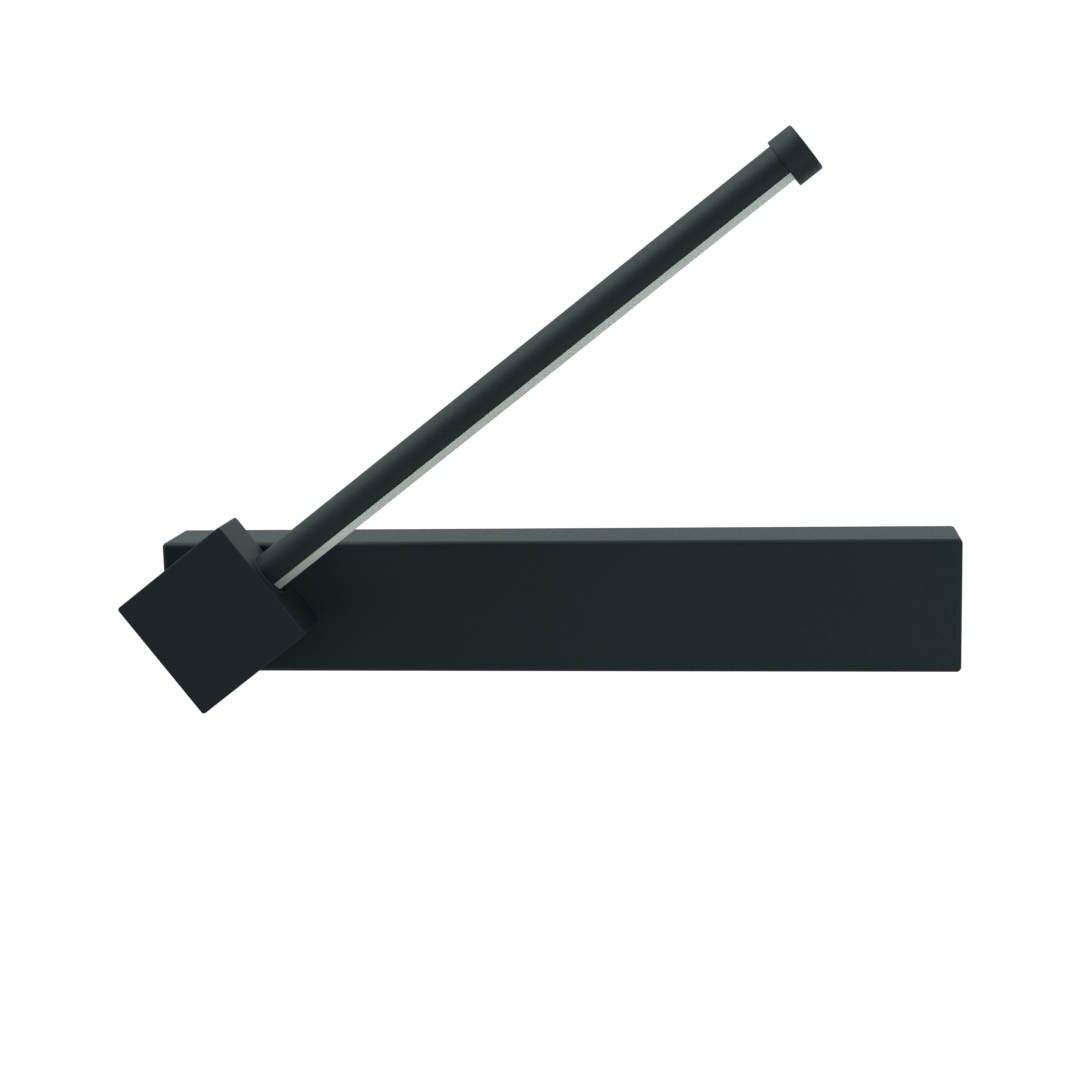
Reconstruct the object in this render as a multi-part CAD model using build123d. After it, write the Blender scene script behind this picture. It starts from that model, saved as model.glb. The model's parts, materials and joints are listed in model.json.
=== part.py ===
from build123d import *
import os

# Swing-arm wall light, in millimetres. The pieces are drawn as seen from the room: x to the right
# along the housing, y up and z out from the wall, with the origin on the wall at the middle of the
# housing's outline. They are written with +Z up and +Y into the wall.

# Fits
running_clearance = 0.05  # radial, where one piece turns in another
sliding_clearance = 0.05  # between flat faces that slide
glued_clearance = 0.02  # radial, where a piece is pressed or glued in
fastener_clearance = 0.05  # round screws, studs and nuts
loose_clearance = 0.1  # where pieces are dropped together
turning_gap = 0.4  # between pieces that turn close to each other

# Wall housing of folded sheet
housing_length = 300.0
housing_height = 50.0
housing_depth = 30.0
housing_wall = 1.5
housing_front_radius = 1.8
housing_corner_radius = 1.8
housing_inner_radius = 0.8

# Countersunk screws that hold the housing and the block's back plate
screw_radius = 1.5
screw_head_radius = 2.75
screw_head_rim = 0.2
screw_recess_length = 3.3
screw_recess_width = 0.7
screw_recess_depth = 0.9
housing_screw_length = 8.0
housing_screw_spacing = 120.0
housing_screw_depth = 8.0

# Wall bracket of pressed steel
bracket_length = 220.0
bracket_height = 42.0
bracket_thickness = 1.5
bracket_corner_radius = 3.0
bracket_tab_width = 16.0
bracket_tab_depth = 14.0
bracket_bend_radius = 2.0
wall_slot_spacing = 180.0
box_slot_spacing = 60.0
slot_width = 5.0
slot_length = 12.0

# Cable entry, a grommet in a dished hole
cable_entry_x = 11.0
cable_radius = 4.0
grommet_wall = 1.8
grommet_flange_radius = 7.5
grommet_flange_thickness = 1.2
grommet_edge_radius = 0.5
dish_depth = 1.6
dish_land = 0.5

# Light driver in its plastic case
driver_gap = 7.0  # from the pivot plate to the driver's ear
driver_length = 80.0
driver_height = 32.0
driver_thickness = 20.0
driver_wall = 1.5
driver_lid_height = 4.0
driver_lip_height = 2.0
driver_lip_thickness = 1.2
driver_edge_radius = 2.0
driver_ear_length = 8.0
driver_ear_width = 14.0
driver_ear_thickness = 2.5
driver_board_thickness = 1.6
driver_post_height = 3.0
driver_post_size = 5.0
transformer_size = 17.0
transformer_height = 10.5
transformer_x = 46.0
bobbin_width = 13.0
bobbin_length = 22.0
bobbin_step = 1.5
capacitor_radius = 4.0
capacitor_height = 9.5
capacitor_edge_radius = 0.6
capacitor_x = 22.0
capacitor_spacing = 12.0

# Welded studs and nuts that carry the driver
stud_radius = 1.5
stud_length = 7.0
stud_base_radius = 2.4
stud_base_height = 0.8
stud_nut_width = 5.5
stud_nut_height = 2.4

# Terminal block with a screw at each end of each pole
terminal_left_x = 46.0
terminal_length = 18.0
terminal_pitch = 10.0
terminal_pole_width = 6.0
terminal_base_height = 4.5
terminal_height = 13.5
terminal_edge_radius = 0.8
terminal_wire_height = 9.0
terminal_screw_radius = 1.7
terminal_screw_inset = 4.5
terminal_fixing_radius = 1.2
terminal_fixing_head_radius = 1.8
terminal_fixing_head_height = 1.4
terminal_fixing_slot = 0.5

# Earth screw and ring lug
earth_x = 74.0
earth_y = -15.5
earth_screw_radius = 2.0
earth_head_radius = 3.6
earth_head_height = 2.4
lug_radius = 4.0
lug_thickness = 0.8
lug_barrel_radius = 1.8
lug_barrel_length = 6.0

# Wires
mains_wire_radius = 1.2
lead_radius = 1.1
wire_bend = 3.4
mains_wire_run = 14.0  # straight before the long bends
mains_wire_sweep = 18.0
lead_run = 12.5
lead_sweep = 7.0
lead_turn = 5.0

# Pivot of the arm
pivot_inset = 25.0  # pivot axis from the housing's left end
arm_angle = 37.4  # arm raised from lying along the housing, in degrees
spindle_radius = 5.0
spindle_bore_radius = 3.0
spindle_flat = 4.25
spindle_head_radius = 8.0
spindle_head_thickness = 2.5
spindle_neck_radius = 6.0
spindle_neck_flat = 4.8
spindle_end = 1.0
pivot_plate_size = 36.0
pivot_plate_thickness = 2.0
pivot_bush_wall = 1.5
pivot_bush_flange = 1.2
pivot_bush_flange_radius = 9.5
friction_washer_radius = 16.0
friction_washer_thickness = 0.95
stop_washer_radius = 10.5
stop_washer_thickness = 1.5
stop_tab_radius = 16.5
stop_tab_width = 4.0
stop_pin_radius = 1.5
stop_pin_circle = 14.5
disc_spring_radius = 9.5
disc_spring_thickness = 0.8
disc_spring_cone = 0.6
thrust_washer_radius = 9.0
thrust_washer_thickness = 1.0
spindle_nut_width = 14.0
spindle_nut_height = 4.0

# Pivot block
block_size = 50.5
block_depth = 25.0
block_wall = 3.0
block_front_wall = 2.5
block_corner_radius = 1.2
block_edge_radius = 0.4
block_back_radius = 0.8
block_rib = 2.0
block_channel = 20.4
block_boss_radius = 4.0
block_boss_merge = 0.3
back_plate_thickness = 2.0
back_plate_rim = 1.6
back_plate_corner_radius = 1.0
back_plate_screw_length = 10.0

# Seat of the tube in the block
seat_length = 15.0
seat_mouth_length = 1.6  # a narrower mouth that keeps the bush in
seat_bead_radius = 0.45  # a raised bead round the mouth
tube_bush_wall = 0.75
stop_screw_x = 17.5
stop_screw_tip_radius = 1.0
stop_groove_depth = 1.4
stop_rib_width = 1.6
ring_thickness = 1.0
ring_radius = 9.7
ring_groove_depth = 0.4
ring_shoulder = 0.5
ring_gap = 5.0
o_ring_section = 1.8
o_ring_x = 21.5
journal_bore_radius = 1.6
spigot_length = 15.0

# Tube of extruded aluminium with a clip-in diffuser
arm_reach = 249.5  # from the block's face to the end of the cap
tube_inset = 0.3  # the extrusion starts this far inside the block's face
tube_radius = 8.0
tube_wall = 1.4
tube_open_level = 3.4  # the extrusion is cut off this far below its axis
web_level = 1.3
web_thickness = 1.0
lead_channel = 6.0
channel_floor = 0.4
diffuser_setback = 0.9  # from the block's face to the diffuser
diffuser_gap = 0.3
diffuser_level = 6.5  # flat underside, below the axis
diffuser_wall = 1.0
diffuser_leg_inner = 4.75
diffuser_leg = 0.75
diffuser_leg_top = 0.7
diffuser_hook = 0.35
diffuser_hook_height = 0.6

# Light board in the tube
board_width = 8.0
board_thickness = 0.8
board_start = 50.0
board_end_gap = 2.0
chip_length = 3.5
chip_width = 2.8
chip_height = 0.6
chip_pitch = 6.25
chip_margin = 7.0
core_radius = 0.4
core_spacing = 1.1
core_bend = 1.2
core_landing = 3.0

# End cap
cap_radius = 9.5
cap_length = 10.0
cap_floor = 3.0
cap_edge_radius = 0.8
cap_mouth_radius = 0.4

# Levels above the wall and places that follow from the sizes
pivot_x = pivot_inset - housing_length / 2
driver_left_x = pivot_x + pivot_plate_size / 2 + driver_gap + driver_ear_length
front_inside = housing_depth - housing_wall
pivot_plate_level = front_inside - pivot_plate_thickness
bush_level = pivot_plate_level - pivot_bush_flange
stop_washer_top = bush_level - sliding_clearance
stop_washer_level = stop_washer_top - stop_washer_thickness
disc_spring_height = disc_spring_thickness + disc_spring_cone
disc_spring_level = stop_washer_level - 2 * disc_spring_height
thrust_washer_level = disc_spring_level - thrust_washer_thickness
spindle_nut_level = thrust_washer_level - spindle_nut_height
lock_nut_level = spindle_nut_level - spindle_nut_height
spindle_level = lock_nut_level - spindle_end
block_back = housing_depth + friction_washer_thickness + sliding_clearance
block_front = block_back + block_depth
back_plate_front = block_back + back_plate_thickness
tube_level = block_back + block_depth / 2
block_half = block_size / 2
boss_offset = block_half - block_wall - block_boss_radius + block_boss_merge
seat_inner_x = block_half - seat_length
seat_outer_x = block_half - seat_mouth_length
ring_x = seat_inner_x - loose_clearance - ring_thickness
journal_start = ring_x - ring_shoulder
tube_start = block_half - tube_inset
diffuser_start = block_half + diffuser_setback
spigot_end = tube_start + spigot_length
cap_end = block_half + arm_reach
cap_start = cap_end - cap_length
tube_end = cap_end - cap_floor
board_level = web_level + web_thickness
driver_right_x = driver_left_x + driver_length
driver_base_level = front_inside - driver_thickness + driver_lid_height
driver_wire_level = driver_base_level + driver_lip_height + 2 * mains_wire_radius + driver_wall
driver_board_level = front_inside - driver_wall - driver_post_height - driver_board_thickness
terminal_right_x = terminal_left_x + terminal_length
terminal_level = bracket_thickness + terminal_base_height
terminal_top = bracket_thickness + terminal_height
grommet_back = dish_depth - grommet_flange_thickness
grommet_front = dish_depth + bracket_thickness + grommet_flange_thickness


# Shapes that many pieces use

def slab(x0, x1, y0, y1, z0, z1):
    return Pos((x0 + x1) / 2, (y0 + y1) / 2, (z0 + z1) / 2) * Box(x1 - x0, y1 - y0, z1 - z0)


def disc(radius, z0, z1, x=0, y=0):
    return Pos(x, y, (z0 + z1) / 2) * Cylinder(radius, z1 - z0)


def rod(radius, x0, x1, y=0, z=0):
    return Pos((x0 + x1) / 2, y, z) * Rot(0, 90, 0) * Cylinder(radius, x1 - x0)


def turned(*outline):
    # A piece turned about z, from points of radius and level.
    return revolve(make_face(Plane.XZ * Polyline(*outline, close=True)), Axis.Z)


def flatted(radius, flat):
    # A round with two flats, as seen along its axis.
    return Circle(radius) & Rectangle(2 * radius, 2 * flat)


def strip(half_width, low, high):
    return Pos(0, (low + high) / 2) * Rectangle(2 * half_width, high - low)


def along_tube(section, x0, x1):
    # A section of the tube drawn with its opening down, drawn out along x.
    across = Plane(origin=(x0, 0, 0), x_dir=(0, 0, -1), z_dir=(1, 0, 0))
    return extrude(across * section, amount=x1 - x0)


def hex_nut(width, height, hole_radius, level):
    # Corners are turned down at both faces.
    flat = width / 2
    corner = width / 3**0.5
    rise = (corner - flat) / 2
    prism = extrude(RegularPolygon(flat, 6, major_radius=False), amount=height)
    prism &= turned((0, 0), (flat, 0), (corner, rise), (corner, height - rise), (flat, height), (0, height))
    return Pos(0, 0, level) * (prism - disc(hole_radius, 0, height))


def cross_recess():
    # A driver's cross, sunk from level 0.
    arm = extrude(Rectangle(screw_recess_length, screw_recess_width), amount=-screw_recess_depth)
    return arm + Rot(0, 0, 90) * arm


def countersunk_screw(length):
    # Head up, with its top at level 0.
    cone = screw_head_radius - screw_radius
    body = turned(
        (0, 0),
        (screw_head_radius, 0),
        (screw_head_radius, -screw_head_rim),
        (screw_radius, -screw_head_rim - cone),
        (screw_radius, -length),
        (0, -length),
    )
    return body - cross_recess()


def countersunk_hole(depth):
    # Room for the screw above, with the mouth at level 0.
    cone = screw_head_radius - screw_radius
    hole_radius = screw_radius + fastener_clearance
    mouth_radius = screw_head_radius + fastener_clearance
    return turned(
        (0, loose_clearance),
        (mouth_radius, loose_clearance),
        (mouth_radius, -screw_head_rim),
        (hole_radius, -screw_head_rim - cone),
        (hole_radius, -depth),
        (0, -depth),
    )


def wire(radius, points, bends):
    path = FilletPolyline(*points, radius=bends)
    return sweep(Plane(origin=path @ 0, z_dir=path % 0) * Circle(radius), path=path)


# Wall housing and its fixings

def housing_screw_places():
    # Mouths in the underside, with the screws pointing up.
    for side in (-1, 1):
        place = Pos(side * housing_screw_spacing / 2, -housing_height / 2, housing_screw_depth)
        yield place * Rot(90, 0, 0)


def make_housing():
    x, y = housing_length / 2, housing_height / 2
    outer = slab(-x, x, -y, y, 0, housing_depth)
    outer = fillet(outer.edges().filter_by(Axis.Z), housing_corner_radius)
    outer = fillet(outer.faces().sort_by(Axis.Z)[-1].edges(), housing_front_radius)
    x, y = x - housing_wall, y - housing_wall
    hollow = slab(-x, x, -y, y, -housing_wall, front_inside)
    hollow = fillet(hollow.faces().sort_by(Axis.Z)[-1].edges(), housing_inner_radius)
    shell = outer - hollow
    bush_hole = spindle_radius + running_clearance + pivot_bush_wall + glued_clearance
    shell -= disc(bush_hole, front_inside - housing_wall, housing_depth + housing_wall, pivot_x)
    for place in housing_screw_places():
        shell -= place * countersunk_hole(2 * housing_wall)
    return shell


def make_housing_screws():
    return [place * countersunk_screw(housing_screw_length) for place in housing_screw_places()]


def bent_tab(side):
    # An L of sheet: up the wall, round the bend and out along the housing.
    reach = housing_height / 2 - housing_wall
    root = bracket_height / 2 - bracket_bend_radius
    inside = reach - bracket_thickness
    outline = Polyline(
        (0, root),
        (0, reach),
        (bracket_tab_depth, reach),
        (bracket_tab_depth, inside),
        (bracket_thickness, inside),
        (bracket_thickness, root),
        close=True,
    )
    section = make_face(outline)
    outer_bend = section.vertices().sort_by_distance((0, reach))[0]
    section = fillet(outer_bend, bracket_bend_radius)
    inner_bend = section.vertices().sort_by_distance((bracket_thickness, inside))[0]
    section = fillet(inner_bend, bracket_bend_radius - bracket_thickness)
    across = Plane(origin=(-bracket_tab_width / 2, 0, 0), x_dir=(0, 0, 1), z_dir=(-1, 0, 0))
    tab = extrude(across * section, amount=-bracket_tab_width)
    return tab if side > 0 else mirror(tab, about=Plane.XZ)


def make_wall_bracket():
    outline = RectangleRounded(bracket_length, bracket_height, bracket_corner_radius)
    for spacing in (wall_slot_spacing, box_slot_spacing):
        for side in (-1, 1):
            outline -= Pos(side * spacing / 2, 0) * SlotOverall(slot_length, slot_width)
    plate = extrude(outline, amount=bracket_thickness)
    for x in (-housing_screw_spacing / 2, housing_screw_spacing / 2):
        for side in (-1, 1):
            plate += Pos(x, 0, 0) * bent_tab(side)
    hole = cable_radius + grommet_wall
    land = grommet_flange_radius + dish_land
    mouth = land + dish_depth
    plate -= disc(mouth, 0, bracket_thickness, cable_entry_x)
    plate += Pos(cable_entry_x, 0, 0) * turned(
        (mouth, 0),
        (land, dish_depth),
        (hole, dish_depth),
        (hole, dish_depth + bracket_thickness),
        (land - bracket_thickness / 2, dish_depth + bracket_thickness),
        (mouth - bracket_thickness / 2, bracket_thickness),
        (mouth, bracket_thickness),
    )
    tap = screw_radius + fastener_clearance
    for place in housing_screw_places():
        plate -= place * disc(tap, -housing_screw_length, 0)
    plate -= disc(earth_screw_radius + fastener_clearance, 0, bracket_thickness, earth_x, earth_y)
    for x, y in terminal_fixing_places():
        plate -= disc(terminal_fixing_radius + fastener_clearance, 0, bracket_thickness, x, y)
    return plate


def make_cable_grommet():
    neck = cable_radius + grommet_wall - fastener_clearance
    back = disc(grommet_flange_radius, grommet_back, dish_depth)
    back = fillet(back.edges().sort_by(Axis.Z)[0], grommet_edge_radius)
    front = disc(grommet_flange_radius, dish_depth + bracket_thickness, grommet_front)
    front = fillet(front.edges().sort_by(Axis.Z)[-1], grommet_edge_radius)
    body = back + disc(neck, dish_depth, dish_depth + bracket_thickness) + front
    return Pos(cable_entry_x, 0, 0) * (body - disc(cable_radius, grommet_back, grommet_front))


# Light driver

def driver_stud_places():
    ear = driver_ear_length / 2
    return (driver_left_x - ear, driver_right_x + ear)


def driver_wire_places():
    # Two mains wires at the right end.
    return (driver_height / 6, -driver_height / 6)


def make_driver_base():
    y = driver_height / 2
    outer = slab(driver_left_x, driver_right_x, -y, y, driver_base_level, front_inside)
    outer = fillet(outer.edges().filter_by(Axis.Z), driver_edge_radius)
    x0, x1 = driver_left_x + driver_wall, driver_right_x - driver_wall
    y0 = y - driver_wall
    floor = front_inside - driver_wall
    base = outer - slab(x0, x1, -y0, y0, driver_base_level, floor)
    post_top = floor - driver_post_height
    for px in (x0, x1 - driver_post_size):
        for py in (-y0, y0 - driver_post_size):
            base += slab(px, px + driver_post_size, py, py + driver_post_size, post_top, floor)
    ear_back = front_inside - driver_ear_thickness
    for x in driver_stud_places():
        length = driver_ear_length + 2 * driver_edge_radius
        lean = driver_edge_radius if x < driver_left_x else -driver_edge_radius
        ear = RectangleRounded(length, driver_ear_width, driver_edge_radius)
        ear = Pos(x + lean, 0, ear_back) * extrude(ear, amount=driver_ear_thickness)
        base += ear - slab(x0, x1, -y0, y0, driver_base_level, floor)
    for x in driver_stud_places():
        base -= disc(stud_radius + fastener_clearance, ear_back, front_inside, x)
        base -= disc(stud_base_radius + loose_clearance, front_inside - stud_base_height, front_inside, x)
    for y in driver_wire_places():
        base -= rod(mains_wire_radius + loose_clearance, x1, driver_right_x, y, driver_wire_level)
    return base - rod(lead_radius + loose_clearance, driver_left_x, x0, 0, driver_wire_level)


def make_driver_lid():
    y = driver_height / 2
    back = driver_base_level - driver_lid_height
    lid = slab(driver_left_x, driver_right_x, -y, y, back, driver_base_level)
    lid = fillet(lid.edges().filter_by(Axis.Z), driver_edge_radius)
    lid = fillet(lid.faces().sort_by(Axis.Z)[0].edges(), driver_edge_radius / 2)
    inset = driver_wall + loose_clearance
    x0, x1, y0 = driver_left_x + inset, driver_right_x - inset, y - inset
    lid += slab(x0, x1, -y0, y0, driver_base_level, driver_base_level + driver_lip_height)
    x0, x1, y0 = x0 + driver_lip_thickness, x1 - driver_lip_thickness, y0 - driver_lip_thickness
    return lid - slab(x0, x1, -y0, y0, back + driver_wall, driver_base_level + driver_lip_height)


def make_driver_board():
    inset = driver_wall + loose_clearance
    y = driver_height / 2 - inset
    top = driver_board_level + driver_board_thickness
    return slab(driver_left_x + inset, driver_right_x - inset, -y, y, driver_board_level, top)


def make_driver_transformer():
    # A square core round a longer, lower bobbin.
    x = driver_left_x + transformer_x
    back = driver_board_level - transformer_height
    half, narrow, long = transformer_size / 2, bobbin_width / 2, bobbin_length / 2
    core = slab(x - half, x + half, -half, half, back, driver_board_level)
    return core + slab(x - narrow, x + narrow, -long, long, back + bobbin_step, driver_board_level)


def make_driver_capacitors():
    x = driver_left_x + capacitor_x
    cans = []
    for y in (-capacitor_spacing / 2, capacitor_spacing / 2):
        can = disc(capacitor_radius, driver_board_level - capacitor_height, driver_board_level, x, y)
        cans.append(fillet(can.edges().sort_by(Axis.Z)[0], capacitor_edge_radius))
    return cans


def make_driver_studs():
    studs = []
    for x in driver_stud_places():
        base = disc(stud_base_radius, front_inside - stud_base_height, front_inside, x)
        studs.append(base + disc(stud_radius, front_inside - stud_length, front_inside, x))
    return studs


def make_driver_nuts():
    level = front_inside - driver_ear_thickness - stud_nut_height
    nut = hex_nut(stud_nut_width, stud_nut_height, stud_radius + fastener_clearance, level)
    return [Pos(x, 0, 0) * nut for x in driver_stud_places()]


# Terminal block and earth point

def terminal_poles():
    return (terminal_pitch, 0, -terminal_pitch)


def terminal_screw_places():
    for x in (terminal_left_x + terminal_screw_inset, terminal_right_x - terminal_screw_inset):
        for y in terminal_poles():
            yield x, y


def terminal_fixing_places():
    x = (terminal_left_x + terminal_right_x) / 2
    return ((x, terminal_pitch / 2), (x, -terminal_pitch / 2))


def make_terminal_block():
    reach = terminal_pitch + terminal_pole_width / 2
    block = slab(terminal_left_x, terminal_right_x, -reach, reach, bracket_thickness, terminal_level)
    for y in terminal_poles():
        half = terminal_pole_width / 2
        pole = slab(terminal_left_x, terminal_right_x, y - half, y + half, terminal_level, terminal_top)
        block += fillet(pole.faces().sort_by(Axis.Z)[-1].edges(), terminal_edge_radius)
    for y in terminal_poles():
        wire_hole = mains_wire_radius + loose_clearance
        block -= rod(wire_hole, terminal_left_x, terminal_right_x, y, terminal_wire_height)
    for x, y in terminal_screw_places():
        block -= disc(terminal_screw_radius + fastener_clearance, terminal_wire_height, terminal_top, x, y)
    for x, y in terminal_fixing_places():
        block -= disc(terminal_fixing_radius + fastener_clearance, bracket_thickness, terminal_level, x, y)
    return block


def make_terminal_screws():
    low = terminal_wire_height + mains_wire_radius + fastener_clearance
    high = terminal_top - terminal_edge_radius
    screws = []
    for x, y in terminal_screw_places():
        slot = Pos(x, y, high) * Box(2 * terminal_screw_radius, screw_recess_width, screw_recess_depth)
        screws.append(disc(terminal_screw_radius, low, high, x, y) - slot)
    return screws


def make_terminal_fixings():
    top = terminal_level + terminal_fixing_head_height
    screws = []
    for x, y in terminal_fixing_places():
        slot = Box(2 * terminal_fixing_head_radius, terminal_fixing_slot, terminal_fixing_slot)
        head = disc(terminal_fixing_head_radius, terminal_level, top, x, y) - Pos(x, y, top) * slot
        screws.append(head + disc(terminal_fixing_radius, loose_clearance, terminal_level, x, y))
    return screws


def make_earth_screw():
    top = bracket_thickness + lug_thickness + earth_head_height
    head = disc(earth_head_radius, bracket_thickness + lug_thickness, top)
    head = fillet(head.edges().sort_by(Axis.Z)[-1], earth_head_height / 3)
    head += disc(earth_screw_radius, loose_clearance, bracket_thickness + lug_thickness)
    return Pos(earth_x, earth_y, 0) * (head - Pos(0, 0, top) * cross_recess())


def lug_barrel_level():
    return bracket_thickness + loose_clearance + lug_barrel_radius


def make_earth_lug():
    barrel_end = earth_x - earth_head_radius - lug_barrel_radius
    barrel_start = barrel_end - lug_barrel_length
    top = bracket_thickness + lug_thickness
    low, high = earth_y - lug_barrel_radius, earth_y + lug_barrel_radius
    lug = disc(lug_radius, bracket_thickness, top, earth_x, earth_y)
    lug += slab(barrel_start, earth_x, low, high, bracket_thickness, top)
    lug += rod(lug_barrel_radius, barrel_start, barrel_end, earth_y, lug_barrel_level())
    lug -= disc(earth_screw_radius + fastener_clearance, bracket_thickness, top, earth_x, earth_y)
    hole = mains_wire_radius + fastener_clearance
    return lug - rod(hole, barrel_start, barrel_end - lug_thickness, earth_y, lug_barrel_level())


# Wires in the housing

def make_mains_wire(pole, exit_y):
    held = terminal_left_x + terminal_screw_inset + terminal_screw_radius
    inside = driver_right_x - driver_wall - 2 * mains_wire_radius
    return wire(
        mains_wire_radius,
        (
            (held, pole, terminal_wire_height),
            (terminal_left_x - mains_wire_run, pole, terminal_wire_height),
            (driver_right_x + mains_wire_run, exit_y, driver_wire_level),
            (inside, exit_y, driver_wire_level),
            (inside, exit_y, driver_board_level),
        ),
        (mains_wire_sweep, mains_wire_sweep, wire_bend / 2),
    )


def make_earth_wire():
    held = terminal_left_x + terminal_screw_inset + terminal_screw_radius
    lug_end = earth_x - earth_head_radius - lug_barrel_radius - lug_thickness
    turn = terminal_left_x - mains_wire_radius - wire_bend
    return wire(
        mains_wire_radius,
        (
            (held, -terminal_pitch, terminal_wire_height),
            (turn, -terminal_pitch, terminal_wire_height),
            (turn, earth_y, lug_barrel_level()),
            (lug_end, earth_y, lug_barrel_level()),
        ),
        (wire_bend, wire_bend),
    )


def make_driver_lead():
    # From the driver to the back end of the spindle, on the pivot axis.
    inside = driver_left_x + driver_wall + 2 * lead_radius
    low = spindle_level - 2 * wire_bend
    return wire(
        lead_radius,
        (
            (inside, 0, driver_board_level),
            (inside, 0, driver_wire_level),
            (driver_left_x - lead_run, 0, driver_wire_level),
            (pivot_x + lead_run, 0, low),
            (pivot_x, 0, low),
            (pivot_x, 0, spindle_level),
        ),
        (wire_bend / 2, lead_sweep, lead_sweep, lead_turn),
    )


# Pivot pieces fixed to the housing

def make_pivot_plate():
    plate = RectangleRounded(pivot_plate_size, pivot_plate_size, bracket_corner_radius)
    plate = Pos(0, 0, pivot_plate_level) * extrude(plate, amount=pivot_plate_thickness)
    hole = spindle_radius + running_clearance + pivot_bush_wall + glued_clearance
    plate -= disc(hole, pivot_plate_level, front_inside)
    plate -= disc(stop_pin_radius + glued_clearance, pivot_plate_level, front_inside, -stop_pin_circle)
    return Pos(pivot_x, 0, 0) * plate


def make_pivot_bush():
    bore = spindle_radius + running_clearance
    outside = bore + pivot_bush_wall
    front = housing_depth - loose_clearance
    return Pos(pivot_x, 0, 0) * turned(
        (bore, bush_level),
        (pivot_bush_flange_radius, bush_level),
        (pivot_bush_flange_radius, pivot_plate_level),
        (outside, pivot_plate_level),
        (outside, front),
        (bore, front),
    )


def make_stop_pin():
    low = stop_washer_level - stop_pin_radius / 2
    pin = disc(stop_pin_radius, low, front_inside)
    pin = chamfer(pin.edges().sort_by(Axis.Z)[0], stop_pin_radius / 4)
    return Pos(pivot_x - stop_pin_circle, 0, 0) * pin


# Pivot block and spindle, with the arm along x and the pivot axis at the origin

def back_plate_screw_places():
    for x in (-boss_offset, boss_offset):
        for y in (-boss_offset, boss_offset):
            yield Pos(x, y, block_back) * Rot(180, 0, 0)


def make_block_casting():
    block = slab(-block_half, block_half, -block_half, block_half, block_back, block_front)
    block = fillet(block.edges().filter_by(Axis.Z), block_corner_radius)
    block = fillet(block.faces().sort_by(Axis.Z)[-1].edges(), block_edge_radius)
    block = fillet(block.faces().sort_by(Axis.Z)[0].edges(), block_back_radius)
    recess_size = block_size - 2 * back_plate_rim
    recess = RectangleRounded(recess_size, recess_size, back_plate_corner_radius)
    block -= Pos(0, 0, block_back) * extrude(recess, amount=back_plate_thickness)
    pocket_half = block_half - block_wall
    pocket = Rectangle(2 * pocket_half, 2 * pocket_half)
    rib_outside = block_channel / 2 + block_rib
    for side in (-1, 1):
        pocket -= Pos(0, side * (block_channel + block_rib) / 2) * Rectangle(block_size, block_rib)
        for end in (-1, 1):
            pocket -= Pos(end * boss_offset, side * boss_offset) * Circle(block_boss_radius)
    seat_middle = (seat_inner_x + block_half) / 2
    pocket -= Pos(seat_middle, 0) * Rectangle(seat_length, 2 * rib_outside)
    pocket_depth = block_depth - back_plate_thickness - block_front_wall
    block -= Pos(0, 0, back_plate_front) * extrude(pocket, amount=pocket_depth)
    seat_radius = tube_radius + running_clearance + tube_bush_wall + glued_clearance
    block -= rod(seat_radius, seat_inner_x - block_rib, seat_outer_x, 0, tube_level)
    mouth_radius = tube_radius + loose_clearance
    bead = Rot(0, 90, 0) * Torus(mouth_radius + seat_bead_radius / 2, seat_bead_radius)
    block += Pos(block_half, 0, tube_level) * bead
    block -= rod(mouth_radius, seat_outer_x, block_half + block_rib, 0, tube_level)
    block -= disc(screw_radius + fastener_clearance, back_plate_front, tube_level, stop_screw_x)
    for place in back_plate_screw_places():
        block -= place * disc(screw_radius + fastener_clearance, -back_plate_screw_length - screw_radius, 0)
    return block


def make_block_back_plate():
    size = block_size - 2 * back_plate_rim - 2 * loose_clearance
    plate = RectangleRounded(size, size, back_plate_corner_radius)
    plate -= flatted(spindle_neck_radius + fastener_clearance, spindle_neck_flat + fastener_clearance)
    plate = Pos(0, 0, block_back) * extrude(plate, amount=back_plate_thickness)
    for place in back_plate_screw_places():
        plate -= place * countersunk_hole(2 * back_plate_thickness)
    return plate


def make_back_plate_screws():
    return [place * countersunk_screw(back_plate_screw_length) for place in back_plate_screw_places()]


def make_pivot_spindle():
    head_top = back_plate_front + spindle_head_thickness
    end_chamfer = spindle_end / 2
    shaft = turned(
        (0, spindle_level),
        (spindle_radius - end_chamfer, spindle_level),
        (spindle_radius, spindle_level + end_chamfer),
        (spindle_radius, block_back),
        (0, block_back),
    )
    keyed = Pos(0, 0, spindle_level) * extrude(
        flatted(spindle_radius, spindle_flat), amount=stop_washer_top - spindle_level
    )
    plain = disc(spindle_radius, stop_washer_top, block_back)
    neck = Pos(0, 0, block_back) * extrude(
        flatted(spindle_neck_radius, spindle_neck_flat), amount=back_plate_thickness
    )
    head = disc(spindle_head_radius, back_plate_front, head_top)
    spindle = (shaft & (keyed + plain)) + neck + head
    return spindle - disc(spindle_bore_radius, spindle_level, head_top)


def make_friction_washer():
    hole = spindle_radius + loose_clearance
    low = block_back - friction_washer_thickness
    return disc(friction_washer_radius, low, block_back) - disc(hole, low, block_back)


def make_stop_washer():
    # The tab points along the arm.
    tab_root = stop_washer_radius / 2
    tab = Rectangle(stop_tab_radius - tab_root, stop_tab_width)
    outline = Circle(stop_washer_radius) + Pos((tab_root + stop_tab_radius) / 2, 0) * tab
    outline -= flatted(spindle_radius + fastener_clearance, spindle_flat + fastener_clearance)
    return Pos(0, 0, stop_washer_level) * extrude(outline, amount=stop_washer_thickness)


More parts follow.
